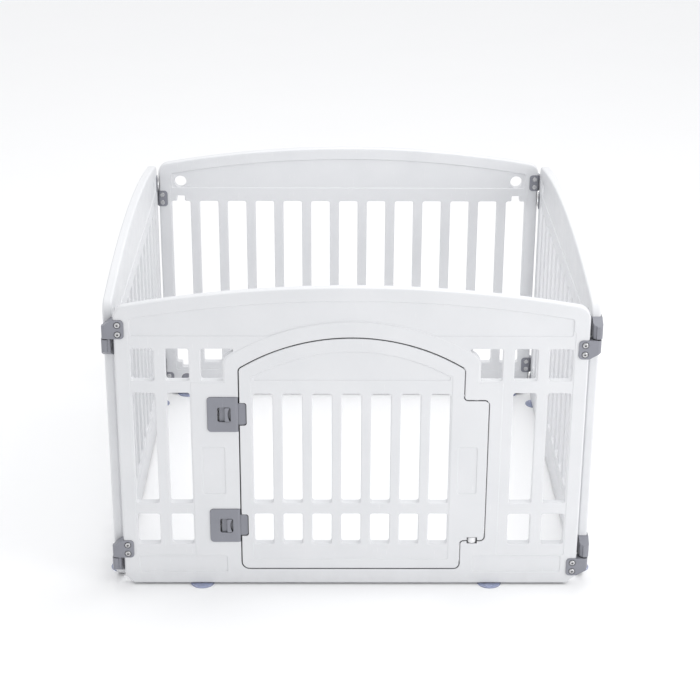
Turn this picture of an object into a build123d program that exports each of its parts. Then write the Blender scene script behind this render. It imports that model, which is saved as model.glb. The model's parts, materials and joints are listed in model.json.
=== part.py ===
"""Four-panel moulded pet playpen with a latched swing door.

Frame: millimetres, +Z up, Z = 0 on the floor, origin at the centre of the square pen.
The door panel faces -Y. Every side is the front side turned about Z in steps of 90 degrees,
so each piece is drawn once where it stands on the front side and then placed.
"""

import os

from build123d import *

# ---------------------------------------------------------------- driving dimensions, mm
HINGE_SPAN = 896.0  # between neighbouring corner hinge axes
PANEL_T = 18.0  # panel thickness
PANEL_GAP = 12.0  # from a corner hinge axis to the panel's end
PANEL_H = 613.0  # crown of the arched top above the panel's bottom edge
FLOOR_GAP = 3.0  # panel bottom edge above the floor, carried by the suction cups
ARCH_R = 2400.0  # arched top edge
SHOULDER_R = 26.0  # top corners of a panel
CLIP = 17.0  # clipped bottom corners of a panel
CLIP_R = 9.0
EDGE_R = 4.0  # rounding along the panel outline
DOOR_EDGE_R = 1.5  # rounding along the doorway and the door
RIM_R = 2.0  # rounding around openings

SLOT_PITCH = 64.3
SLOT_W = 43.0
SLOT_R = 5.0
SLOT_COUNT = 13
SLOT_Z = (82.0, 486.0)  # bars of a plain panel
KEY_W = 18.0  # notch in the two end slots
KEY_REACH = 13.0
KEY_R = 3.0
EYE_R = 13.5  # round eye above each end slot
EYE_Z = 532.6
EYE_RIM_R = 1.0
PLUG_R = 13.0  # plugged eye below each end slot
PLUG_Z = 39.8
PLUG_SINK = 0.5  # plug faces below the panel faces
PLUG_BEVEL = 1.0

FIELD_X = 410.5  # half width of the shallow field around the bars
FIELD_Z = (61.7, 516.7)
FIELD_DEPTH = 0.8
CREST_X = 407.0  # half width of the deeper recess under the arch
CREST_DROP = 25.4
CREST_DEPTH = 2.2
CREST_R = 6.0
WALL_TAPER = 40.0  # slope of every recess wall

# corner hinges
HINGE_Z = (56.7, 511.7)  # split planes of the two hinges of a corner, above the panel's bottom
HINGE_NAMES = ("base", "top")
HALF_H = 36.8  # height of one hinge half
SPLIT = 2.0  # gap between the two halves
SLANT = 12.5  # fall of the slanted end towards the corner
LEAF_T = 2.4  # outer leaf
LINER_T = 1.8  # inner leaf
LINER_R = 6.0
LEAF_END = 31.5  # hinge axis to the end of the leaf
LEAF_R = 7.0
LEAF_EDGE_R = 0.8
WEB = 2.2  # saddle wall across the panel's end
KNUCKLE_R = 7.0
NOSE = 10.0  # reach of the outer block past the axis
NOSE_R = 7.0
PIN_R = 3.0
PIN_REACH = 24.0  # depth of the pin in each half
PIN_FIT = 0.05  # running clearance in a socket
PIN_FIT_LOOSE = 0.30  # socket of the corner that closes the ring
PIN_COLLAR_R = 5.5
COLLAR_PLAY = 0.1
SCREW_X = 19.9  # screw line from the hinge axis
SCREW_Z = (10.0, 28.3)  # screws above and below the split plane
SCREW_HEAD_R = 5.4
SCREW_HEAD_H = 2.6
SCREW_DISH_R = 6.6
SCREW_DISH = 1.0
SCREW_R = 2.2
SCREW_L = 16.0
SCREW_KEY_R = 2.3  # hexagon socket in the head
SCREW_KEY_DEPTH = 1.8
SLEEVE_R = 3.3
SLEEVE_HEAD_H = 1.6
SLEEVE_FIT = 0.1

# front panel
FRONT_ROWS = ((86.6, 151.8), (174.7, 404.2), (428.1, 492.8))  # openings, bottom to top
FRONT_COLUMNS = (5, 6)  # slot numbers, counted from the middle, on each side of the door
STILE_X = (-297.0, 280.0)  # plain stiles each side of the door
STILE_TOP = 424.5
BAND_R = 417.0  # raised band over the door
BAND_HALF = 235.0
BAND_CORNER = 25.0
BAND_MARGIN = 3.2  # land between the band and the openings beside it
CORNER_IN = 218.0  # inner reach of the top openings beside the band
CORNER_R = 3.0
FRONT_RIM_R = 1.5
BAR_RECESS = ((-407.5, -236.5), (234.0, 405.5))
BAR_RECESS_Z = (24.9, 61.0)
POCKET_X = (-281.0, -236.5)
POCKET_Z = (194.0, 293.5)
PANE_DEPTH = 1.5

# door
DOOR_HALF = 208.5
DOOR_BASE = 33.4
DOOR_ARCH_Z = 128.4  # centre height of the door's arch
DOOR_ARCH_R = 385.3
DOOR_GAP = 2.0
DOOR_BASE_R = (14.0, 10.0)  # bottom corners, latch side and pivot side
DOOR_TOP_R = 9.0
EAR_X = 255.2  # hinge-side extension of the door
EAR_Z = (94.6, 388.3)
EAR_R = 8.0
DOOR_FIELD_X = 187.5
DOOR_CREST_X = 184.0
DOOR_FIELD_Z = 53.0
DOOR_CREST_Z = 428.5
DOOR_CREST_DROP = 25.5
DOOR_CREST_R = 5.0
DOOR_SLOT_PITCH = 55.2
DOOR_SLOT_W = 37.0
DOOR_SLOT_COUNT = 7
DOOR_ROWS = ((86.6, 151.8), (174.7, 402.0))
EAR_POCKET_X = (200.5, 238.0)
LIP_W = 4.5  # stop lip of the frame behind the door
LIP_T = 4.0
LIP_END = 190.0
LIP_PLAY = 1.0
LIP_PLAY_T = 0.4

# door pivots
PIVOT_X = 232.5
PIVOT_PIN_R = 3.0
PIVOT_REACH = 20.0
PIVOT_FIT = 0.06
BARREL_R = 9.4  # lower pivot bush, seen in the gap under the door's ear
BARREL_Z = (88.0, 101.0)
BARREL_PLAY = 0.5
BARREL_ROUNDING = 3.0
BUSH_R = 6.0  # upper pivot bush
BUSH_Z = (385.4, 393.2)
BUSH_PLAY = 0.3

# latches
LATCH_Z = {"base": 127.4, "top": 360.9}
CASE_X = (-268.5, -211.0)
CASE_H = 70.6
CASE_PROUD = 2.2
CASE_BEVEL = 5.0
CASE_T = 3.5  # outer plate
CASE_WALL = 2.0
CASE_R = 7.0
CASE_FIT = 0.3
CASE_EDGE_R = 0.8
CASE_WALL_PLAY = 0.2  # walls stop above the pocket floor
BAY_H = 48.0  # clear height of the bolt's bay
BOSS_X = -255.0  # screw bosses fill the corners up to here
POCKET_DEPTH = 12.5
WINDOW_X = (-249.6, -224.7)
WINDOW_H = 30.0
WINDOW_R = 4.0
TONGUE_TIP = -196.8
TONGUE_H = 43.8
TONGUE_T = 6.4
TONGUE_R = 5.0
TONGUE_PLAY = 0.3
TONGUE_SINK = 1.7  # tongue face below the door's face
BOLT_TAIL = -246.0
BOLT_TRAVEL = 13.0
RUNNER_H = 5.0
RUNNER_PLAY = 0.3
HUB_H = 16.0
HUB_T = 9.3
HUB_END = -234.0
GRIP_X = (-236.2, -226.2)
GRIP_H = 28.0
GRIP_PROUD = 3.2  # grip above the panel's face
GRIP_SCOOP_R = 26.5
GRIP_R = 2.0
GRIP_EDGE_R = 0.6
STRIKE_PLAY = 1.5
SPRING_R = 2.5
SPRING_WIRE = 0.45
SPRING_PITCH = 3.6
SPRING_BORE = 8.0
SPRING_PLAY = 0.7
LATCH_SCREW_X = -260.5
LATCH_SCREW_Z = 28.0
LATCH_SCREW_R = 1.5
LATCH_SCREW_HEAD = (3.4, 2.2)
LATCH_SCREW_FIT = 0.1
LATCH_SCREW_TIP = 5.5  # reach past the panel's middle plane
LATCH_DRIVE_W = 1.0

# suction cups
CUP_R = 23.4
CUP_RIM = 1.3
CUP_HOLLOW = 1.5
CUP_CROWN_R = 9.0
CUP_NECK_R = 4.0
CUP_NECK_H = 22.0
FOOT_PLAY = 1.5
FOOT_FIT = 0.2
FRONT_FEET = (-287.0, 269.5)
PLAIN_FEET = (-6 * SLOT_PITCH, 6 * SLOT_PITCH)

# worked out
HALF_SPAN = HINGE_SPAN / 2
PANEL_L = HINGE_SPAN - 2 * PANEL_GAP
HALF_T = PANEL_T / 2
END_SLOT = (SLOT_COUNT // 2) * SLOT_PITCH
TONGUE_BACK = HALF_T - TONGUE_SINK - TONGUE_T
STRIKE_FLOOR = TONGUE_BACK - 2 * TONGUE_PLAY
OUTER, INNER = 1, -1
SIDES = {"front": 0, "right": 90, "back": 180, "left": 270}

os.makedirs("parts", exist_ok=True)


# ---------------------------------------------------------------- helpers
def face_plane(depth):
    """Upright plane of the front side: X across, Y up from the panel's bottom, normal outwards."""
    return Plane(origin=(0, -HALF_SPAN - depth, FLOOR_GAP), x_dir=(1, 0, 0), z_dir=(0, -1, 0))


def span(low, high):
    """Middle and length of a stretch."""
    return (low + high) / 2, high - low


def block(x_range, z_range):
    """Rectangle between two x and two z values, in the sketch at work."""
    x_mid, x_len = span(*x_range)
    z_mid, z_len = span(*z_range)
    with Locations((x_mid, z_mid)):
        Rectangle(x_len, z_len)


def pane(x_range, z_range, radius):
    """Rounded rectangle between two x and two z values."""
    with BuildSketch() as face:
        block(x_range, z_range)
        fillet(face.vertices(), radius)
    return face.sketch


def on_face(sketch, depth):
    """Sketch moved to the front side, at a depth from the panel's middle plane."""
    return face_plane(depth) * sketch


def cut_through(sketch):
    """Cut a drawn opening through the panel at work."""
    extrude(on_face(sketch, 0), amount=PANEL_T, both=True, mode=Mode.SUBTRACT)


def sink(sketch, side, depth, taper=WALL_TAPER):
    """Sink a drawn recess into the outer or inner face, with sloping walls."""
    face = on_face(sketch, side * HALF_T)
    extrude(face, amount=-side * depth, taper=taper, mode=Mode.SUBTRACT)


def slab(sketch, low, high, mode=Mode.ADD):
    """Extrude a drawn shape between two depths from the panel's middle plane."""
    extrude(on_face(sketch, low), amount=high - low, mode=mode)


def upright(x, z_range, radius, mode=Mode.SUBTRACT):
    """Upright round bore or peg in the middle plane of the panel at work."""
    with Locations((x, -HALF_SPAN, FLOOR_GAP + z_range[0])):
        length = z_range[1] - z_range[0]
        Cylinder(radius, length, align=(Align.CENTER, Align.CENTER, Align.MIN), mode=mode)


def rim_edges(part, side, depth, x_range, z_range):
    """Edges at a depth below one face of the part at work, between x and z limits."""
    y = -HALF_SPAN - side * (HALF_T - depth)
    flat = part.edges().filter_by_position(Axis.Y, y - 0.01, y + 0.01)
    across = flat.filter_by_position(Axis.X, *x_range)
    return across.filter_by_position(Axis.Z, FLOOR_GAP + z_range[0], FLOOR_GAP + z_range[1])


def keep(part, name, *places):
    """Write one node: a piece, or copies of it, each turned and moved to its place."""
    with BuildPart() as node:
        with Locations(*(places or [Location()])):
            add(part)
    node.part.label = name
    export_step(node.part, f"parts/{name}.step")


# ---------------------------------------------------------------- plain panels
def blank_panel():
    """Arched slab with rounded edges and the screw holes of its four hinge halves."""
    with BuildPart() as blank:
        with BuildSketch(face_plane(0)) as outline:
            Rectangle(PANEL_L, PANEL_H, align=(Align.CENTER, Align.MIN))
            with Locations((0, PANEL_H - ARCH_R)):
                Circle(ARCH_R, mode=Mode.INTERSECT)
            fillet(outline.vertices().group_by(Axis.Y)[-1], SHOULDER_R)
            chamfer(outline.vertices().group_by(Axis.Y)[0], CLIP)
            fillet(outline.vertices().filter_by_position(Axis.Y, -0.1, CLIP + 0.1), CLIP_R)
        extrude(amount=HALF_T, both=True)
        fillet(blank.faces().filter_by(Axis.Y).edges(), EDGE_R)
        with BuildSketch(face_plane(0)):
            with Locations(*screw_points()):
                Circle(SLEEVE_R + SLEEVE_FIT)
        extrude(amount=PANEL_T, both=True, mode=Mode.SUBTRACT)
    return blank.part


def screw_points():
    """Hinge screws of one panel: sockets rise above the split planes, posts hang below."""
    reach = HALF_SPAN - SCREW_X
    return [(end * reach, split - end * rise) for end in (-1, 1) for split in HINGE_Z for rise in SCREW_Z]


def field_face():
    """Shallow field around the bars."""
    return pane((-FIELD_X, FIELD_X), (FIELD_Z[0], FIELD_Z[1] + 2 * CREST_R), SLOT_R)


def crest_face():
    """Arched recess along the top of a panel."""
    with BuildSketch() as crest:
        with Locations((0, FIELD_Z[1])):
            Rectangle(2 * CREST_X, PANEL_H, align=(Align.CENTER, Align.MIN))
        with Locations((0, PANEL_H - ARCH_R)):
            Circle(ARCH_R - CREST_DROP, mode=Mode.INTERSECT)
        fillet(crest.vertices(), CREST_R)
    return crest.sketch


def key_slot():
    """Opening of an end bay, with a notch above and below."""
    half, notch = SLOT_W / 2, KEY_W / 2
    with BuildSketch() as slot:
        add(pane((-half, half), SLOT_Z, SLOT_R))
        add(pane((-notch, notch), (SLOT_Z[0] - KEY_REACH, SLOT_Z[1] + KEY_REACH), KEY_R))
        inner = slot.vertices().filter_by_position(Axis.X, -notch - 0.1, notch + 0.1)
        fillet(inner.filter_by_position(Axis.Y, SLOT_Z[0] - 0.1, SLOT_Z[1] + 0.1), KEY_R)
    return slot.sketch


def plain_openings():
    """Slots, keyed end slots and eyes of a plain panel."""
    z_mid, z_len = span(*SLOT_Z)
    with BuildSketch() as openings:
        with Locations((0, z_mid)):
            with GridLocations(SLOT_PITCH, 0, SLOT_COUNT - 2, 1):
                RectangleRounded(SLOT_W, z_len, SLOT_R)
        with Locations((-END_SLOT, 0), (END_SLOT, 0)):
            add(key_slot())
        with Locations((-END_SLOT, EYE_Z), (END_SLOT, EYE_Z)):
            Circle(EYE_R)
        with Locations((-END_SLOT, PLUG_Z), (END_SLOT, PLUG_Z)):
            Circle(PLUG_R)
    return openings.sketch


def plain_panel():
    """Panel with bars from end to end, the same on both faces."""
    with BuildPart() as panel:
        add(blank_panel())
        for side in (OUTER, INNER):
            sink(field_face(), side, FIELD_DEPTH)
            sink(crest_face(), side, CREST_DEPTH)
        cut_through(plain_openings())
        for side in (OUTER, INNER):
            limits = (-FIELD_X + RIM_R, FIELD_X - RIM_R)
            fillet(rim_edges(panel, side, FIELD_DEPTH, limits, (FIELD_Z[0] + 2, FIELD_Z[1] - 2)), RIM_R)
            fillet(rim_edges(panel, side, CREST_DEPTH, limits, (EYE_Z - 1, EYE_Z + 1)), EYE_RIM_R)
        for x in PLAIN_FEET:
            upright(x, (0, CUP_NECK_H + FOOT_PLAY), CUP_NECK_R + FOOT_FIT)
    return panel.part


# ---------------------------------------------------------------- front panel and door
def near(sketch, x, y):
    """The vertex of a sketch nearest to a point."""
    return sketch.vertices().sort_by_distance((x, y, 0))[0]


def door_face(grow=0.0):
    """Outline of the door, grown all round by a margin."""
    half, base = DOOR_HALF + grow, DOOR_BASE - grow
    ear, ear_low, ear_high = EAR_X + grow, EAR_Z[0] - grow, EAR_Z[1] + grow
    arch = DOOR_ARCH_R + grow
    shoulder = DOOR_ARCH_Z + (arch**2 - half**2) ** 0.5
    with BuildSketch() as face:
        with Locations((0, base)):
            Rectangle(2 * half, PANEL_H, align=(Align.CENTER, Align.MIN))
        with Locations((0, DOOR_ARCH_Z)):
            Circle(arch, mode=Mode.INTERSECT)
        with Locations((ear, ear_low)):
            Rectangle(ear, ear_high - ear_low, align=(Align.MAX, Align.MIN))
        fillet([near(face, ear, ear_low), near(face, ear, ear_high)], EAR_R + grow)
        fillet([near(face, half, ear_low), near(face, half, ear_high)], EAR_R - grow)
        fillet(near(face, half, base), DOOR_BASE_R[1] + grow)
        fillet(near(face, -half, base), DOOR_BASE_R[0] + grow)
        fillet([near(face, half, shoulder), near(face, -half, shoulder)], DOOR_TOP_R + grow)
    return face.sketch


def lip_face(outer, inner):
    """Ring between two outlines of the door, left open beside the door's pivots."""
    with BuildSketch() as ring:
        add(door_face(outer))
        add(door_face(inner), mode=Mode.SUBTRACT)
        with Locations((LIP_END, 0)):
            Rectangle(PANEL_L, 2 * PANEL_H, align=(Align.MIN, Align.CENTER), mode=Mode.SUBTRACT)
    return ring.sketch


def band_face(grow=0.0):
    """Raised band over the door."""
    with BuildSketch() as band:
        with Locations((0, STILE_TOP - BAND_CORNER)):
            Rectangle(2 * (BAND_HALF + grow), PANEL_H, align=(Align.CENTER, Align.MIN))
        with Locations((0, DOOR_ARCH_Z)):
            Circle(BAND_R + grow, mode=Mode.INTERSECT)
        fillet(band.vertices().group_by(Axis.Y)[-1], BAND_CORNER)
    return band.sketch


def corner_openings():
    """Pair of top openings whose inner side follows the band over the door."""
    outer = (FRONT_COLUMNS[0] - 1) * SLOT_PITCH + SLOT_W / 2
    base, top = FRONT_ROWS[-1]
    inner = [(CORNER_IN, top), (CORNER_IN, top - SLOT_R), (BAND_HALF + BAND_MARGIN, base)]
    with BuildSketch() as pair:
        block((-outer, -CORNER_IN), (base, top))
        block((CORNER_IN, outer), (base, top))
        add(band_face(BAND_MARGIN), mode=Mode.SUBTRACT)
        fillet([near(pair, end * outer, z) for end in (-1, 1) for z in (base, top)], SLOT_R)
        fillet([near(pair, end * x, z) for end in (-1, 1) for x, z in inner], CORNER_R)
    return pair.sketch


def front_openings():
    """Openings on both sides of the door, in three rows."""
    with BuildSketch() as openings:
        for z_range in FRONT_ROWS:
            z_mid, z_len = span(*z_range)
            reach = [end * number * SLOT_PITCH for number in FRONT_COLUMNS for end in (-1, 1)]
            with Locations(*[(x, z_mid) for x in reach]):
                RectangleRounded(SLOT_W, z_len, SLOT_R)
        add(corner_openings())
    return openings.sketch


def front_field():
    """Field of the front panel, clear of the stiles and of the band over the door."""
    with BuildSketch() as field:
        add(field_face())
        x_mid, x_len = span(*STILE_X)
        with Locations((x_mid, 0)):
            Rectangle(x_len, STILE_TOP, align=(Align.CENTER, Align.MIN), mode=Mode.SUBTRACT)
        add(band_face(), mode=Mode.SUBTRACT)
    return field.sketch


def front_crest():
    """Recess under the arch of the front panel, clear of the band over the door."""
    with BuildSketch() as crest:
        add(crest_face())
        add(band_face(), mode=Mode.SUBTRACT)
    return crest.sketch


def case_face(z, grow, right):
    """Outline of a latch case: square at the jamb, round-cornered away from it."""
    low, high = z - CASE_H / 2 - grow, z + CASE_H / 2 + grow
    with BuildSketch() as face:
        block((CASE_X[0] - grow, right), (low, high))
        fillet(face.vertices().group_by(Axis.X)[0], CASE_R + grow)
    return face.sketch


def screw_spots(z):
    """Centres of the two screws of a latch."""
    return [(LATCH_SCREW_X, z - LATCH_SCREW_Z), (LATCH_SCREW_X, z + LATCH_SCREW_Z)]


def discs(points, radius):
    """Circles of one radius at several points."""
    with BuildSketch() as face:
        with Locations(*points):
            Circle(radius)
    return face.sketch


def cut_latch_seat(z):
    """Pocket for a latch case, with its screw holes from the inner face."""
    floor = HALF_T - POCKET_DEPTH
    slab(case_face(z, CASE_FIT, -DOOR_HALF), floor, HALF_T + 1, Mode.SUBTRACT)
    slab(discs(screw_spots(z), LATCH_SCREW_R + LATCH_SCREW_FIT), -HALF_T, floor, Mode.SUBTRACT)
    head_r, head_h = LATCH_SCREW_HEAD
    slab(discs(screw_spots(z), head_r + LATCH_SCREW_FIT), -HALF_T, head_h - HALF_T, Mode.SUBTRACT)


def cut_barrel_notch(z_range):
    """Room for the round lower bush, open to the outer face."""
    upright(PIVOT_X, z_range, BARREL_R + BARREL_PLAY)
    reach = BARREL_R + BARREL_PLAY
    notch = pane((PIVOT_X - reach, PIVOT_X + reach), z_range, 0.5)
    slab(notch, 0, HALF_T + 1, Mode.SUBTRACT)


def front_panel():
    """Front panel: doorway with its stop lip, openings, latch seats and pivot bores."""
    doorway = ((-EAR_X - 9, EAR_X + 9), (DOOR_BASE - 9, DOOR_ARCH_Z + DOOR_ARCH_R + 9))
    with BuildPart() as panel:
        add(blank_panel())
        cut_through(door_face(DOOR_GAP))
        fillet(rim_edges(panel, OUTER, 0, *doorway), DOOR_EDGE_R)
        slab(lip_face(DOOR_GAP + 1, DOOR_GAP - LIP_W), -HALF_T, LIP_T - HALF_T)
        for side in (OUTER, INNER):
            sink(front_field(), side, FIELD_DEPTH)
            sink(front_crest(), side, CREST_DEPTH)
        cut_through(front_openings())
        for side in (OUTER, INNER):
            rows = (FRONT_ROWS[0][0] - 1, FRONT_ROWS[-1][1] + 1)
            for end in (-1, 1):
                limits = sorted((end * CORNER_IN, end * (FIELD_X - RIM_R)))
                fillet(rim_edges(panel, side, FIELD_DEPTH, limits, rows), FRONT_RIM_R)
        for x_range in BAR_RECESS:
            sink(pane(x_range, BAR_RECESS_Z, SLOT_R), OUTER, PANE_DEPTH)
        sink(pane(POCKET_X, POCKET_Z, SLOT_R), OUTER, PANE_DEPTH)
        for z in LATCH_Z.values():
            cut_latch_seat(z)
        cut_barrel_notch((BARREL_Z[0], EAR_Z[0]))
        upright(PIVOT_X, (BARREL_Z[0] - PIVOT_REACH, BARREL_Z[0]), PIVOT_PIN_R)
        upright(PIVOT_X, (EAR_Z[1], BUSH_Z[1]), BUSH_R)
        upright(PIVOT_X, (BUSH_Z[1], BUSH_Z[1] + PIVOT_REACH), PIVOT_PIN_R)
        for x in FRONT_FEET:
            upright(x, (0, CUP_NECK_H + FOOT_PLAY), CUP_NECK_R + FOOT_FIT)
    return panel.part


def door_crest():
    """Recess under the arch of the door."""
    with BuildSketch() as crest:
        with Locations((0, DOOR_CREST_Z)):
            Rectangle(2 * DOOR_CREST_X, PANEL_H, align=(Align.CENTER, Align.MIN))
        with Locations((0, DOOR_ARCH_Z)):
            Circle(DOOR_ARCH_R - DOOR_CREST_DROP, mode=Mode.INTERSECT)
        fillet(crest.vertices(), DOOR_CREST_R)
    return crest.sketch


def door_slots():
    """Two rows of slots in the door."""
    with BuildSketch() as slots:
        for z_range in DOOR_ROWS:
            z_mid, z_len = span(*z_range)
            with Locations((0, z_mid)):
                with GridLocations(DOOR_SLOT_PITCH, 0, DOOR_SLOT_COUNT, 1):
                    RectangleRounded(DOOR_SLOT_W, z_len, SLOT_R)
    return slots.sketch


def cut_strike(z):
    """Recess in the door's edge that takes a latch tongue."""
    height = TONGUE_H / 2 + STRIKE_PLAY
    face = pane((-2 * DOOR_HALF - TONGUE_TIP, TONGUE_TIP + STRIKE_PLAY), (z - height, z + height), SLOT_R)
    slab(face, STRIKE_FLOOR, HALF_T + 1, Mode.SUBTRACT)


def door():
    """Door leaf with its rebate, slots, strike recesses and pivot bores."""
    with BuildPart() as leaf:
        slab(door_face(), -HALF_T, HALF_T)
        fillet(leaf.faces().filter_by(Axis.Y).edges(), DOOR_EDGE_R)
        rebate = LIP_W - DOOR_GAP + LIP_PLAY
        slab(lip_face(1, -rebate), -HALF_T - 1, LIP_T + LIP_PLAY_T - HALF_T, Mode.SUBTRACT)
        field = pane((-DOOR_FIELD_X, DOOR_FIELD_X), (DOOR_FIELD_Z, DOOR_CREST_Z + 2 * CREST_R), SLOT_R)
        for side in (OUTER, INNER):
            sink(field, side, FIELD_DEPTH)
            sink(door_crest(), side, CREST_DEPTH)
        cut_through(door_slots())
        for side in (OUTER, INNER):
            limits = (-DOOR_FIELD_X + RIM_R, DOOR_FIELD_X - RIM_R)
            rows = (DOOR_ROWS[0][0] - 1, DOOR_ROWS[1][1] + 1)
            fillet(rim_edges(leaf, side, FIELD_DEPTH, limits, rows), RIM_R)
        sink(pane(EAR_POCKET_X, POCKET_Z, SLOT_R), OUTER, PANE_DEPTH)
        for z in LATCH_Z.values():
            cut_strike(z)
        cut_barrel_notch((EAR_Z[0] - 1, BARREL_Z[1] + BARREL_PLAY))
        upright(PIVOT_X, (BARREL_Z[1], BARREL_Z[1] + PIVOT_REACH + 1), PIVOT_PIN_R + PIVOT_FIT)
        upright(PIVOT_X, (BUSH_Z[0] - BARREL_PLAY, EAR_Z[1] + 1), BUSH_R + BUSH_PLAY)
        upright(PIVOT_X, (BUSH_Z[0] - PIVOT_REACH - 1, BUSH_Z[0]), PIVOT_PIN_R + PIVOT_FIT)
    return leaf.part


def pivot_pin(z_range):
    """Steel pin of one door pivot."""
    with BuildPart() as pin:
        upright(PIVOT_X, (z_range[0] - PIVOT_REACH, z_range[1] + PIVOT_REACH), PIVOT_PIN_R, Mode.ADD)
        chamfer(pin.faces().filter_by(Axis.Z).edges(), 0.5)
    return pin.part


def pivot_bush(z_range, radius, rounding):
    """Bush around one door pivot."""
    with BuildPart() as bush:
        upright(PIVOT_X, z_range, radius, Mode.ADD)
        fillet(bush.faces().filter_by(Axis.Z).edges(), rounding)
        upright(PIVOT_X, z_range, PIVOT_PIN_R)
    return bush.part


# ---------------------------------------------------------------- corner hinges
def saddle_plan():
    """Plan of a hinge half: its leaves and web clasp the panel's end, beside the knuckle."""
    outer, inner = -HALF_T - LEAF_T, HALF_T + LINER_T
    with BuildSketch() as plan:
        block((-NOSE, LEAF_END), (outer, inner))
        block_cut((PANEL_GAP, LEAF_END + 1), (-HALF_T, HALF_T))
        block_cut((-NOSE - 1, PANEL_GAP - WEB), (0, inner + 1))
        fillet(near(plan, PANEL_GAP - WEB, inner), LINER_R)
        fillet(near(plan, -NOSE, outer), NOSE_R)
        Circle(KNUCKLE_R)
        block((0, PANEL_GAP), (-KNUCKLE_R, KNUCKLE_R))
    return plan.sketch


def block_cut(x_range, y_range):
    """Rectangle taken out of the sketch at work."""
    x_mid, x_len = span(*x_range)
    y_mid, y_len = span(*y_range)
    with Locations((x_mid, y_mid)):
        Rectangle(x_len, y_len, mode=Mode.SUBTRACT)


def saddle_profile():
    """Side view of a hinge half: rounded leaf end, slanted over the knuckle."""
    low, high = SPLIT / 2, SPLIT / 2 + HALF_H
    with BuildSketch() as profile:
        block((-NOSE, LEAF_END), (low, high))
        fillet(profile.vertices().group_by(Axis.X)[-1], LEAF_R)
        with BuildLine():
            Polyline((-NOSE, high - SLANT), (PANEL_GAP - 1, high), (-NOSE, high), close=True)
        make_face(mode=Mode.SUBTRACT)
    return profile.sketch


def hinge_half(bore_r):
    """Moulded hinge half above its split plane, hinge axis at the origin, panel towards +X."""
    outer = -HALF_T - LEAF_T
    side = Plane(origin=(0, 0, 0), x_dir=(1, 0, 0), z_dir=(0, -1, 0))
    spots = [(SCREW_X, z) for z in SCREW_Z]
    with BuildPart() as half:
        extrude(saddle_plan(), amount=SPLIT / 2 + HALF_H)
        extrude(side * saddle_profile(), amount=PANEL_T, both=True, mode=Mode.INTERSECT)
        fillet(half.faces().sort_by(Axis.Y)[0].edges(), LEAF_EDGE_R)
        extrude(side * discs(spots, SCREW_R), amount=PANEL_T, mode=Mode.SUBTRACT)
        extrude(side * discs(spots, SLEEVE_R), amount=-PANEL_T, mode=Mode.SUBTRACT)
        dish = Plane(origin=(0, outer, 0), x_dir=(1, 0, 0), z_dir=(0, -1, 0))
        extrude(dish * discs(spots, SCREW_DISH_R), amount=-SCREW_DISH, mode=Mode.SUBTRACT)
        Cylinder(bore_r, SPLIT / 2 + PIN_REACH, align=(Align.CENTER, Align.CENTER, Align.MIN), mode=Mode.SUBTRACT)
    return half.part


def hinge_pin():
    """Steel pin with the collar that fills the split; the post below holds it."""
    with BuildPart() as pin:
        Cylinder(PIN_R, 2 * PIN_REACH)
        chamfer(pin.faces().filter_by(Axis.Z).edges(), 0.6)
        Cylinder(PIN_COLLAR_R, SPLIT - 2 * COLLAR_PLAY)
    return pin.part


def hinge_screw():
    """Domed screw with a socket, head outwards; its line along Y, leaf face at the origin."""
    with BuildPart() as screw:
        with BuildSketch(Plane.XZ):
            Circle(SCREW_HEAD_R)
        extrude(amount=SCREW_HEAD_H)
        fillet(screw.faces().sort_by(Axis.Y)[0].edges(), SCREW_HEAD_H - 0.6)
        with BuildSketch(Plane.XZ.offset(SCREW_HEAD_H)):
            RegularPolygon(SCREW_KEY_R, 6)
        extrude(amount=-SCREW_KEY_DEPTH, mode=Mode.SUBTRACT)
        with BuildSketch(Plane.XZ):
            Circle(SCREW_R)
        extrude(amount=-SCREW_L)
    return screw.part


def sleeve_nut():
    """Sleeve nut from the inner leaf; its line along Y, leaf face at the origin."""
    with BuildPart() as nut:
        with BuildSketch(Plane.XZ):
            Circle(SCREW_HEAD_R)
        extrude(amount=-SLEEVE_HEAD_H)
        fillet(nut.faces().sort_by(Axis.Y)[-1].edges(), SLEEVE_HEAD_H - 0.5)
        with BuildSketch(Plane.XZ):
            Circle(SLEEVE_R)
        extrude(amount=PANEL_T + LINER_T)
        with BuildSketch(Plane.XZ.offset(PANEL_T + LINER_T)):
            Circle(SCREW_R)
        extrude(amount=-SCREW_L, mode=Mode.SUBTRACT)
    return nut.part


# ---------------------------------------------------------------- latches
def latch_housing(z):
    """Latch case: proud outer plate with a window, walls down to the pocket, tongue slot."""
    plate_out = HALF_T + CASE_PROUD
    plate_in = plate_out - CASE_T
    floor = HALF_T - POCKET_DEPTH + CASE_WALL_PLAY
    inside = (CASE_X[0] + CASE_WALL, CASE_X[1] - CASE_WALL)
    high = CASE_H / 2 - CASE_WALL
    with BuildPart() as case:
        slab(case_face(z, 0, CASE_X[1]), floor, plate_out)
        front = case.faces().sort_by(Axis.Y)[0]
        right = front.edges().sort_by(Axis.X)[-1]
        chamfer(right, length=CASE_BEVEL, length2=CASE_PROUD, reference=front)
        front = case.faces().sort_by(Axis.Y)[0]
        fillet(front.edges(), CASE_EDGE_R)
        hollow = pane(inside, (z - BAY_H / 2, z + BAY_H / 2), 1)
        slab(hollow, floor, plate_in, Mode.SUBTRACT)
        hollow = pane((BOSS_X, inside[1]), (z - high, z + high), 1)
        slab(hollow, floor, plate_in, Mode.SUBTRACT)
        window = pane(WINDOW_X, (z - WINDOW_H / 2, z + WINDOW_H / 2), WINDOW_R)
        slab(window, 0, plate_out + 1, Mode.SUBTRACT)
        rise = TONGUE_H / 2 + TONGUE_PLAY
        slot = pane((inside[1] - 1, CASE_X[1] + 1), (z - rise, z + rise), 0.3)
        slab(slot, TONGUE_BACK - TONGUE_PLAY, plate_in, Mode.SUBTRACT)
        slab(discs(screw_spots(z), LATCH_SCREW_R), floor, LATCH_SCREW_TIP, Mode.SUBTRACT)
    return case.part


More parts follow.
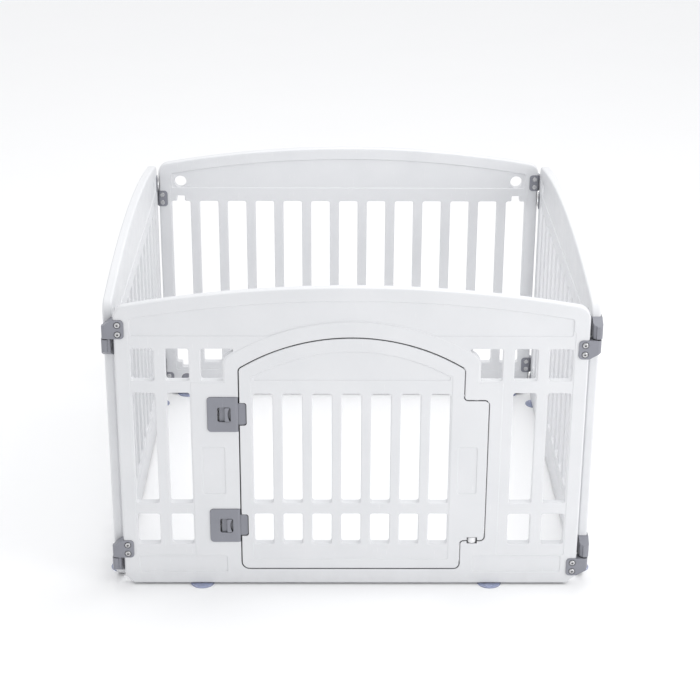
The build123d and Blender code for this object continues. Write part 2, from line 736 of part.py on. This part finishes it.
def grip_face(z):
    """Thumb grip seen from the front, hollowed towards the door."""
    centre = GRIP_X[1] + (GRIP_SCOOP_R**2 - GRIP_H**2 / 4) ** 0.5
    with BuildSketch() as grip:
        block(GRIP_X, (z - GRIP_H / 2, z + GRIP_H / 2))
        fillet(grip.vertices().group_by(Axis.X)[0], GRIP_R)
        with Locations((centre, z)):
            Circle(GRIP_SCOOP_R, mode=Mode.SUBTRACT)
    return grip.sketch


def latch_bolt(z):
    """Sliding bolt: tongue, runners on the pocket floor, spring hub and thumb grip."""
    face = HALF_T - TONGUE_SINK
    floor = HALF_T - POCKET_DEPTH + RUNNER_PLAY
    rise = TONGUE_H / 2
    stop = CASE_X[1] - CASE_WALL - TONGUE_PLAY
    hub_back = face - HUB_T
    with BuildPart() as bolt:
        with BuildSketch() as tongue:
            block((BOLT_TAIL, TONGUE_TIP), (z - rise, z + rise))
            fillet(tongue.vertices().group_by(Axis.X)[-1], TONGUE_R)
        slab(tongue.sketch, TONGUE_BACK, face)
        for low in (z - rise, z + rise - RUNNER_H):
            slab(pane((BOLT_TAIL, stop), (low, low + RUNNER_H), 0.5), floor, TONGUE_BACK + 1)
        slab(pane((BOLT_TAIL, HUB_END), (z - HUB_H / 2, z + HUB_H / 2), 1), hub_back, TONGUE_BACK + 1)
        slab(grip_face(z), face - 1, HALF_T + GRIP_PROUD)
        fillet(bolt.faces().sort_by(Axis.Y)[0].edges(), GRIP_EDGE_R)
        with Locations(Location((BOLT_TAIL, -HALF_SPAN - face + HUB_T / 2, FLOOR_GAP + z), (0, 90, 0))):
            Cylinder(SPRING_R + SPRING_PLAY, 2 * SPRING_BORE, mode=Mode.SUBTRACT)
    return bolt.part


def latch_spring(z):
    """Compression spring between the case's end wall and the bottom of the bolt's bore."""
    start, end = CASE_X[0] + CASE_WALL + SPRING_WIRE, BOLT_TAIL + SPRING_BORE - SPRING_WIRE
    y = -HALF_SPAN - HALF_T + TONGUE_SINK + HUB_T / 2
    line = Helix(SPRING_PITCH, end - start, SPRING_R, center=(start, y, FLOOR_GAP + z), direction=(1, 0, 0))
    with BuildPart() as spring:
        with BuildLine():
            add(line)
        with BuildSketch(Plane(origin=line @ 0, z_dir=line % 0)):
            Circle(SPRING_WIRE)
        sweep(is_frenet=True)
    return spring.part


def latch_screw():
    """Countersunk-in-place pan screw; its line along Y, inner face of the panel at the origin."""
    head_r, head_h = LATCH_SCREW_HEAD
    with BuildPart() as screw:
        with BuildSketch(Plane.XZ):
            Circle(head_r)
        extrude(amount=head_h)
        with BuildSketch(Plane.XZ):
            Rectangle(2 * head_r - 2, LATCH_DRIVE_W)
            Rectangle(LATCH_DRIVE_W, 2 * head_r - 2)
        extrude(amount=head_h / 2, mode=Mode.SUBTRACT)
        with BuildSketch(Plane.XZ.offset(head_h)):
            Circle(LATCH_SCREW_R)
        extrude(amount=HALF_T + LATCH_SCREW_TIP - head_h - 0.5)
    return screw.part


# ---------------------------------------------------------------- feet and plugs
def suction_cup():
    """Clear suction cup with its neck, standing on the floor at the origin."""
    with BuildPart() as cup:
        with BuildSketch(Plane.XZ):
            with BuildLine():
                edge = Line((CUP_R - 1.5, 0), (CUP_R, 0))
                rim = Line(edge @ 1, (CUP_R, CUP_RIM))
                dome = Spline(rim @ 1, (CUP_R * 0.6, FLOOR_GAP - 0.35), (CUP_CROWN_R, FLOOR_GAP))
                crown = Line(dome @ 1, (CUP_NECK_R, FLOOR_GAP))
                neck = Line(crown @ 1, (CUP_NECK_R, FLOOR_GAP + CUP_NECK_H))
                head = Line(neck @ 1, (0, FLOOR_GAP + CUP_NECK_H))
                core = Line(head @ 1, (0, CUP_HOLLOW))
                Spline(core @ 1, (CUP_R * 0.5, CUP_HOLLOW - 0.35), edge @ 0, tangents=((1, 0), (1, -0.3)))
            make_face()
        revolve(axis=Axis.Z)
    return cup.part


def eye_plug():
    """Round plug for a lower eye; its line along Y, centred at the origin."""
    with BuildPart() as plug:
        with BuildSketch(Plane.XZ):
            Circle(PLUG_R)
        extrude(amount=PANEL_T / 2 - PLUG_SINK, both=True)
        chamfer(plug.faces().filter_by(Axis.Y).edges(), PLUG_BEVEL)
    return plug.part


# ---------------------------------------------------------------- assembly
def write_side(side, turn):
    """Hinge halves, pins, screws, nuts and feet of one side."""
    turned = Location((0, 0, 0), (0, 0, turn))
    sockets = hinge_half(PIN_R + (PIN_FIT_LOOSE if side == "back" else PIN_FIT))
    posts = hinge_half(PIN_R)
    for name, z in zip(HINGE_NAMES, HINGE_Z):
        left = Location((-HALF_SPAN, -HALF_SPAN, FLOOR_GAP + z))
        right = Location((HALF_SPAN, -HALF_SPAN, FLOOR_GAP + z), (0, 180, 0))
        keep(sockets, f"{side}_{name}_hinge_socket", turned * left)
        keep(posts, f"{side}_{name}_hinge_post", turned * right)
    axes = [Location((HALF_SPAN, -HALF_SPAN, FLOOR_GAP + z)) for z in HINGE_Z]
    keep(hinge_pin(), f"{side}_hinge_pins", *[turned * place for place in axes])
    outer = -HALF_SPAN - HALF_T - LEAF_T + SCREW_DISH
    inner = -HALF_SPAN + HALF_T + LINER_T
    heads = [Location((x, outer, FLOOR_GAP + z)) for x, z in screw_points()]
    tails = [Location((x, inner, FLOOR_GAP + z)) for x, z in screw_points()]
    keep(hinge_screw(), f"{side}_hinge_screws", *[turned * place for place in heads])
    keep(sleeve_nut(), f"{side}_hinge_nuts", *[turned * place for place in tails])
    for name, x in zip(("left", "right"), FRONT_FEET if side == "front" else PLAIN_FEET):
        keep(suction_cup(), f"{side}_{name}_foot", turned * Location((x, -HALF_SPAN, 0)))


def write_plain(side, turn, panel):
    """Panel and plugs of a side without a door."""
    turned = Location((0, 0, 0), (0, 0, turn))
    keep(panel, f"{side}_panel", turned)
    eyes = [Location((x, -HALF_SPAN, FLOOR_GAP + PLUG_Z)) for x in (-END_SLOT, END_SLOT)]
    keep(eye_plug(), f"{side}_eye_plugs", *[turned * place for place in eyes])


def write_latch(name, z):
    """Housing, bolt, spring and screws of one latch."""
    keep(latch_housing(z), f"{name}_latch_housing")
    keep(latch_bolt(z), f"{name}_latch_bolt")
    keep(latch_spring(z), f"{name}_latch_spring")
    spots = [Location((x, -HALF_SPAN + HALF_T, FLOOR_GAP + height)) for x, height in screw_spots(z)]
    keep(latch_screw(), f"{name}_latch_screws", *spots)


plain = plain_panel()
for side, turn in SIDES.items():
    write_side(side, turn)
    if side != "front":
        write_plain(side, turn, plain)
keep(front_panel(), "front_panel")
keep(door(), "door")
for name, z in LATCH_Z.items():
    write_latch(name, z)
keep(pivot_pin(BARREL_Z), "base_door_pivot_pin")
keep(pivot_pin(BUSH_Z), "top_door_pivot_pin")
keep(pivot_bush(BARREL_Z, BARREL_R, BARREL_ROUNDING), "base_door_pivot_bush")
keep(pivot_bush(BUSH_Z, BUSH_R, 0.5), "top_door_pivot_bush")
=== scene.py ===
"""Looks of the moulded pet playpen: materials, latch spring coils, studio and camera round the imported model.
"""

import json
import math

import bmesh
import bpy
from mathutils import Matrix, Vector


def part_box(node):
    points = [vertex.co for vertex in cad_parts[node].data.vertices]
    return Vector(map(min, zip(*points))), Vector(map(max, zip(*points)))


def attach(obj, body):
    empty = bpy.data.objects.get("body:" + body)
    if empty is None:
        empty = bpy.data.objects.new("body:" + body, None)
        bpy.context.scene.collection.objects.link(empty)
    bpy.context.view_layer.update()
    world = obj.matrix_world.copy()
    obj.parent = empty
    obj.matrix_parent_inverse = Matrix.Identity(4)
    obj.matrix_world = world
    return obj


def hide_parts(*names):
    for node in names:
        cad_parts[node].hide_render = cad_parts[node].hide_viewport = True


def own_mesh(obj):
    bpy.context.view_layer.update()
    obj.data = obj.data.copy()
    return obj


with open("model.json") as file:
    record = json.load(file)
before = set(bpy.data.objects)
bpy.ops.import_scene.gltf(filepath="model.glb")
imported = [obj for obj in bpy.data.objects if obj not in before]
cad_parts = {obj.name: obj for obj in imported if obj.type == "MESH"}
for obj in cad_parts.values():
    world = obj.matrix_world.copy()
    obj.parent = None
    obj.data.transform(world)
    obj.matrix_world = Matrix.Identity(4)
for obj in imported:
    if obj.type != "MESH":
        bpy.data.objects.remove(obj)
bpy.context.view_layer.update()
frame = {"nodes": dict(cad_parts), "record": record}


# ---------------------------------------------------------------- material helpers
class Shader:
    """A material with a Principled shader and short calls for its nodes."""

    def __init__(self, name, colour, roughness, **sockets):
        self.material = bpy.data.materials.new(name)
        self.material.use_nodes = True
        self.tree = self.material.node_tree
        self.bsdf = self.tree.nodes["Principled BSDF"]
        self.bsdf.inputs["Base Color"].default_value = (*colour, 1.0)
        self.bsdf.inputs["Roughness"].default_value = roughness
        for socket, value in sockets.items():
            self.bsdf.inputs[socket.replace("_", " ")].default_value = value
        self.coords = self.add("ShaderNodeTexCoord").outputs["Object"]

    def add(self, kind, **settings):
        node = self.tree.nodes.new(kind)
        for key, value in settings.items():
            setattr(node, key, value)
        return node

    def link(self, source, target):
        self.tree.links.new(source, target)

    def noise(self, scale, detail=4.0, stretch=None):
        """Noise over the object's own coordinates; scale is in cells per metre, stretch is per axis."""
        node = self.add("ShaderNodeTexNoise")
        node.inputs["Scale"].default_value = scale
        node.inputs["Detail"].default_value = detail
        source = self.coords
        if stretch:
            mapping = self.add("ShaderNodeMapping")
            mapping.inputs["Scale"].default_value = stretch
            self.link(source, mapping.inputs["Vector"])
            source = mapping.outputs["Vector"]
        self.link(source, node.inputs["Vector"])
        return node.outputs["Fac"]

    def remap(self, source, low, high, out_low, out_high):
        node = self.add("ShaderNodeMapRange")
        limits = {"From Min": low, "From Max": high, "To Min": out_low, "To Max": out_high}
        for socket, value in limits.items():
            node.inputs[socket].default_value = value
        self.link(source, node.inputs["Value"])
        return node.outputs["Result"]

    def math(self, operation, first, second):
        node = self.add("ShaderNodeMath", operation=operation)
        for socket, value in zip(node.inputs, (first, second)):
            if isinstance(value, (int, float)):
                socket.default_value = value
            else:
                self.link(value, socket)
        return node.outputs["Value"]

    def mix(self, factor, first, second):
        """Colour mix; first and second are RGB triples or sockets."""
        node = self.add("ShaderNodeMix", data_type="RGBA")
        self.link(factor, node.inputs["Factor"])
        for socket, value in zip((node.inputs[6], node.inputs[7]), (first, second)):
            if isinstance(value, tuple):
                socket.default_value = (*value, 1.0)
            else:
                self.link(value, socket)
        return node.outputs[2]

    def bump(self, source, distance, strength=1.0, normal=None):
        node = self.add("ShaderNodeBump")
        node.inputs["Distance"].default_value = distance
        node.inputs["Strength"].default_value = strength
        self.link(source, node.inputs["Height"])
        if normal is not None:
            self.link(normal, node.inputs["Normal"])
        return node.outputs["Normal"]

    def painted_gap_shade(self, reach, low, high):
        """Painted shade mask from ambient occlusion: 1 in narrow gaps and corners, falling to 0 on open faces;
        reach is in metres.
        """
        node = self.add("ShaderNodeAmbientOcclusion", samples=8)
        node.inputs["Distance"].default_value = reach
        return self.remap(node.outputs["AO"], low, high, 1.0, 0.0)

    def height(self):
        """Height above the floor, in metres."""
        split = self.add("ShaderNodeSeparateXYZ")
        self.link(self.coords, split.inputs["Vector"])
        return split.outputs["Z"]

    def set(self, socket, source):
        self.link(source, self.bsdf.inputs[socket])


def moulded(name, colour, shade, scuff, roughness, grain, cells, gap_shade_colour):
    """Injection or blow moulded plastic: mottled colour, fine grain, scuffs, dust low down, and painted shade
    in narrow gaps and corners.
    """
    s = Shader(name, colour, roughness)
    mottle = s.remap(s.noise(9.0, 5.0), 0.35, 0.65, 0.0, 1.0)
    tone = s.mix(mottle, shade, colour)
    scratch = s.noise(420.0, 3.0, stretch=(1.0, 1.0, 0.12))
    marks = s.remap(scratch, 0.66, 0.74, 0.0, 0.5)
    tone = s.mix(marks, tone, scuff)
    dust = s.math("MULTIPLY", s.remap(s.height(), 0.0, 0.045, 0.55, 0.0), s.noise(60.0, 6.0))
    tone = s.mix(dust, tone, tuple(0.72 * c for c in shade))
    # Painted shade: the colour is pulled towards the gap shade colour in narrow gaps and corners.
    s.set("Base Color", s.mix(s.painted_gap_shade(0.009, 0.25, 0.62), tone, gap_shade_colour))
    rough = s.remap(s.noise(35.0, 6.0), 0.3, 0.7, roughness - 0.07, roughness + 0.09)
    s.set("Roughness", s.math("ADD", rough, s.math("MULTIPLY", marks, 0.2)))
    ripple = s.bump(s.noise(14.0, 2.0), 0.0009, 0.35)
    s.set("Normal", s.bump(s.noise(cells, 2.0), grain, 0.5, ripple))
    return s.material


def plated_steel(name, colour, roughness):
    """Bright plated steel: fine drawn lines, small dull spots, and painted shade in narrow gaps."""
    s = Shader(name, colour, roughness, Metallic=1.0)
    lines = s.noise(1800.0, 2.0, stretch=(1.0, 0.1, 1.0))
    dull = s.remap(s.noise(260.0, 5.0), 0.45, 0.75, 0.0, 1.0)
    tone = s.mix(dull, colour, tuple(0.78 * c for c in colour))
    # Painted shade: near-black colour in narrow gaps and corners.
    s.set("Base Color", s.mix(s.painted_gap_shade(0.003, 0.35, 0.85), tone, (0.02, 0.02, 0.022)))
    s.set("Roughness", s.remap(s.noise(300.0, 4.0), 0.3, 0.7, roughness - 0.08, roughness + 0.14))
    s.set("Normal", s.bump(lines, 0.00004, 0.6))
    return s.material


def clear_vinyl(name):
    """Clear soft vinyl with a faint blue cast and slight flow marks."""
    s = Shader(name, (0.74, 0.79, 0.95), 0.12, IOR=1.5)
    s.bsdf.inputs["Transmission Weight"].default_value = 0.72
    rings = s.noise(130.0, 3.0)
    s.set("Base Color", s.mix(rings, (0.60, 0.66, 0.90), (0.80, 0.84, 0.97)))
    s.set("Roughness", s.remap(s.noise(90.0, 5.0), 0.3, 0.7, 0.10, 0.26))
    s.set("Normal", s.bump(s.noise(220.0, 3.0), 0.0004, 0.3))
    return s.material


PANEL = moulded(
    "panel_moulding",
    colour=(0.715, 0.72, 0.735),
    shade=(0.69, 0.697, 0.713),
    scuff=(0.78, 0.78, 0.79),
    roughness=0.40,
    grain=0.00012,
    cells=2600.0,
    # painted shade colour for narrow gaps and corners
    gap_shade_colour=(0.16, 0.165, 0.175),
)
TRIM = moulded(
    "trim_moulding",
    colour=(0.255, 0.26, 0.295),
    shade=(0.23, 0.235, 0.265),
    scuff=(0.36, 0.365, 0.40),
    roughness=0.38,
    grain=0.00010,
    cells=3400.0,
    # painted shade colour for narrow gaps and corners
    gap_shade_colour=(0.012, 0.012, 0.014),
)
BUSH = moulded(
    "bush_moulding",
    colour=(0.84, 0.84, 0.85),
    shade=(0.80, 0.80, 0.81),
    scuff=(0.90, 0.90, 0.90),
    roughness=0.28,
    grain=0.00005,
    cells=3000.0,
    # painted shade colour for narrow gaps and corners
    gap_shade_colour=(0.3, 0.3, 0.31),
)
STEEL = plated_steel("plated_steel", (0.60, 0.60, 0.61), 0.26)
SPRING = plated_steel("spring_steel", (0.52, 0.52, 0.54), 0.34)
VINYL = clear_vinyl("clear_vinyl")

SLOTS = {
    "panel_plastic": PANEL,
    "trim_plastic": TRIM,
    "bush_plastic": BUSH,
    "steel": STEEL,
    "clear_plastic": VINYL,
}
slot_of = {entry["node"]: entry["material_slot"] for entry in frame["record"]["subparts"]}
for name, obj in frame["nodes"].items():
    material = SPRING if name.endswith("spring") else SLOTS[slot_of[name]]
    obj.data.materials.clear()
    obj.data.materials.append(material)


# ---------------------------------------------------------------- latch springs
WIRE_RADIUS = 0.00045
COIL_TURNS = 8.0


def coil_points(low, high, turns, steps=20):
    """Helix along X that fills a box, with one closed turn at each end."""
    radius = (high.z - low.z) / 2 - WIRE_RADIUS
    middle = (low + high) / 2
    start, end = low.x + WIRE_RADIUS, high.x - WIRE_RADIUS
    closed = 2.4 * WIRE_RADIUS
    knots = [(0.0, start), (1.0, start + closed), (turns - 1.0, end - closed), (turns, end)]
    points = []
    for step in range(int(turns * steps) + 1):
        turn = step / steps
        for (t0, x0), (t1, x1) in zip(knots, knots[1:]):
            if t0 <= turn <= t1:
                x = x0 + (x1 - x0) * (turn - t0) / (t1 - t0)
        angle = 2.0 * math.pi * turn
        points.append(Vector((x, middle.y + radius * math.cos(angle), middle.z + radius * math.sin(angle))))
    return points


def latch_spring(name):
    """Compression spring coil drawn in place of the latch spring part and parented to the front body."""
    low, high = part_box(f"{name}_latch_spring")
    points = coil_points(low, high, COIL_TURNS)
    curve = bpy.data.curves.new("coil", "CURVE")
    curve.dimensions = "3D"
    curve.bevel_depth = WIRE_RADIUS
    curve.bevel_resolution = 3
    curve.use_fill_caps = True
    spline = curve.splines.new("POLY")
    spline.points.add(len(points) - 1)
    for knot, point in zip(spline.points, points):
        knot.co = (*point, 1.0)
    coil = bpy.data.objects.new("coil", curve)
    mesh = bpy.data.meshes.new_from_object(coil)
    bpy.data.objects.remove(coil)
    spring = bpy.data.objects.new(f"{name}_spring_coil", mesh)
    bpy.context.scene.collection.objects.link(spring)
    mesh.materials.clear()
    mesh.materials.append(SPRING)
    for polygon in mesh.polygons:
        polygon.use_smooth = True
    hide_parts(f"{name}_latch_spring")
    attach(spring, "front")
    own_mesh(spring)


latch_spring("top")
latch_spring("base")


# ---------------------------------------------------------------- studio
def studio():
    """Wide pale floor under an even pale sky."""
    floor_shader = Shader("floor_paper", (0.95, 0.95, 0.953), 0.9)
    tone = floor_shader.mix(floor_shader.noise(3.0, 3.0), (0.945, 0.945, 0.948), (0.96, 0.96, 0.963))
    floor_shader.set("Base Color", tone)
    mesh = bpy.data.meshes.new("studio_floor")
    bm = bmesh.new()
    under_feet = Matrix.Translation((0.0, 0.0, -0.0002))
    bmesh.ops.create_grid(bm, x_segments=8, y_segments=8, size=22.0, matrix=under_feet)
    bm.to_mesh(mesh)
    bm.free()
    floor = bpy.data.objects.new("studio_floor", mesh)
    for polygon in mesh.polygons:
        polygon.use_smooth = True
    mesh.materials.append(floor_shader.material)
    bpy.context.scene.collection.objects.link(floor)
    world = bpy.data.worlds.new("studio")
    bpy.context.scene.world = world
    world.use_nodes = True
    background = world.node_tree.nodes["Background"]
    background.inputs["Color"].default_value = (0.985, 0.99, 1.0, 1.0)
    background.inputs["Strength"].default_value = 0.94


def softbox(name, place, target, size, power):
    """Square area light facing a point."""
    light = bpy.data.lights.new(name, "AREA")
    light.shape = "SQUARE"
    light.size = size
    light.energy = power
    lamp = bpy.data.objects.new(name, light)
    aim = (Vector(target) - Vector(place)).to_track_quat("-Z", "Y")
    lamp.matrix_world = Matrix.Translation(place) @ aim.to_matrix().to_4x4()
    bpy.context.scene.collection.objects.link(lamp)


def camera():
    """Camera standing in front of the door panel, slightly above, on a long lens."""
    yaw, pitch, roll = math.radians(0.47), math.radians(22.67), math.radians(0.27)
    forward = Vector((math.sin(yaw) * math.cos(pitch), math.cos(yaw) * math.cos(pitch), -math.sin(pitch)))
    right = Vector((math.cos(yaw), -math.sin(yaw), 0.0))
    up = right.cross(forward)
    turned_right = right * math.cos(roll) + up * math.sin(roll)
    turned_up = -right * math.sin(roll) + up * math.cos(roll)
    data = bpy.data.cameras.new("camera")
    data.sensor_width = 36.0
    data.lens = 89.70
    data.shift_x = 0.0044
    data.shift_y = -0.0078
    data.clip_end = 60.0
    obj = bpy.data.objects.new("camera", data)
    turn = Matrix((turned_right, turned_up, -forward)).transposed()
    obj.matrix_world = Matrix.Translation((-0.0333, -3.4027, 1.7357)) @ turn.to_4x4()
    bpy.context.scene.collection.objects.link(obj)
    bpy.context.scene.camera = obj


studio()
softbox("key_right", (1.9, -1.5, 1.2), (0.0, -0.2, 0.3), 1.2, 15.0)
softbox("top", (0.2, 0.9, 3.6), (0.0, 0.2, 0.3), 2.6, 20.0)
softbox("inside", (0.25, -0.1, 1.75), (-0.05, 0.3, 0.3), 0.7, 5.0)
camera()
bpy.context.scene.view_settings.view_transform = "Standard"
